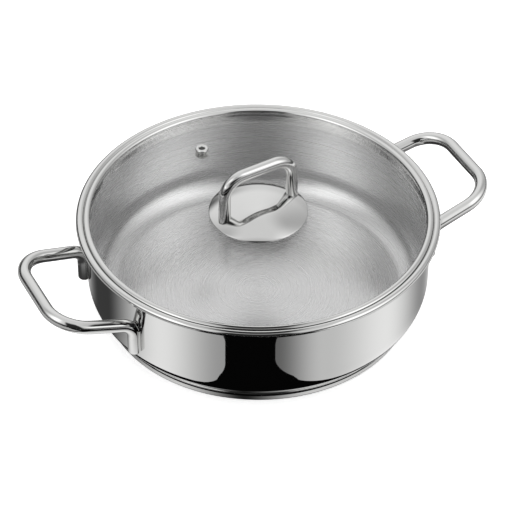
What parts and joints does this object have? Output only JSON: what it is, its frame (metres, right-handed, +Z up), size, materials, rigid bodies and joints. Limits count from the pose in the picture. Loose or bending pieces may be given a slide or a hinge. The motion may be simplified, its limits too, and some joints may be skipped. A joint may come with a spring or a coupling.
{
  "type": "cooking pot",
  "caption": "Low round steel pot with a flared, rolled lip, sandwich base and bent-rod side handles, closed by a flat glass lid in a steel rim with a rod grip and a steam vent.",
  "frame": {"origin": "centre of the base underside, on the pot axis, at the surface it stands on", "axes": "+Z up along the pot axis, +X through the right-hand handle, +Y completes the right-handed frame"},
  "size_m": [0.4012, 0.2968, 0.1378],
  "materials": {
    "pot_steel": "mirror polished outside, satin turned inside",
    "base_steel": "mirror polished side, satin turned underside",
    "core_aluminium": "mill finish",
    "handle_steel": "mirror polished",
    "lid_glass": "clear tempered glass",
    "rim_steel": "polished",
    "vent_steel": "polished",
    "knob_steel": "mirror polished",
    "fixing_steel": "plain",
    "silicone": "matt"
  },
  "bodies": {
    "pot": {"pot_shell": "pot_steel", "base_core": "core_aluminium", "base_cap": "base_steel", "handle_left": "handle_steel", "handle_right": "handle_steel"},
    "lid": {"lid_glass": "lid_glass", "lid_rim_band": "rim_steel", "vent_eyelet": "vent_steel", "vent_washer": "vent_steel", "knob_dome": "knob_steel", "knob_arch": "knob_steel", "knob_boss": "fixing_steel", "knob_gasket_upper": "silicone", "knob_gasket_lower": "silicone", "knob_washer": "fixing_steel", "knob_spring_washer": "fixing_steel", "knob_screw": "fixing_steel"}
  },
  "joints": [
    {"name": "lid_lift", "type": "slide", "parent": "pot", "child": "lid", "axis": [0, 0, 1], "range_m": [0, 0.12]}
  ]
}
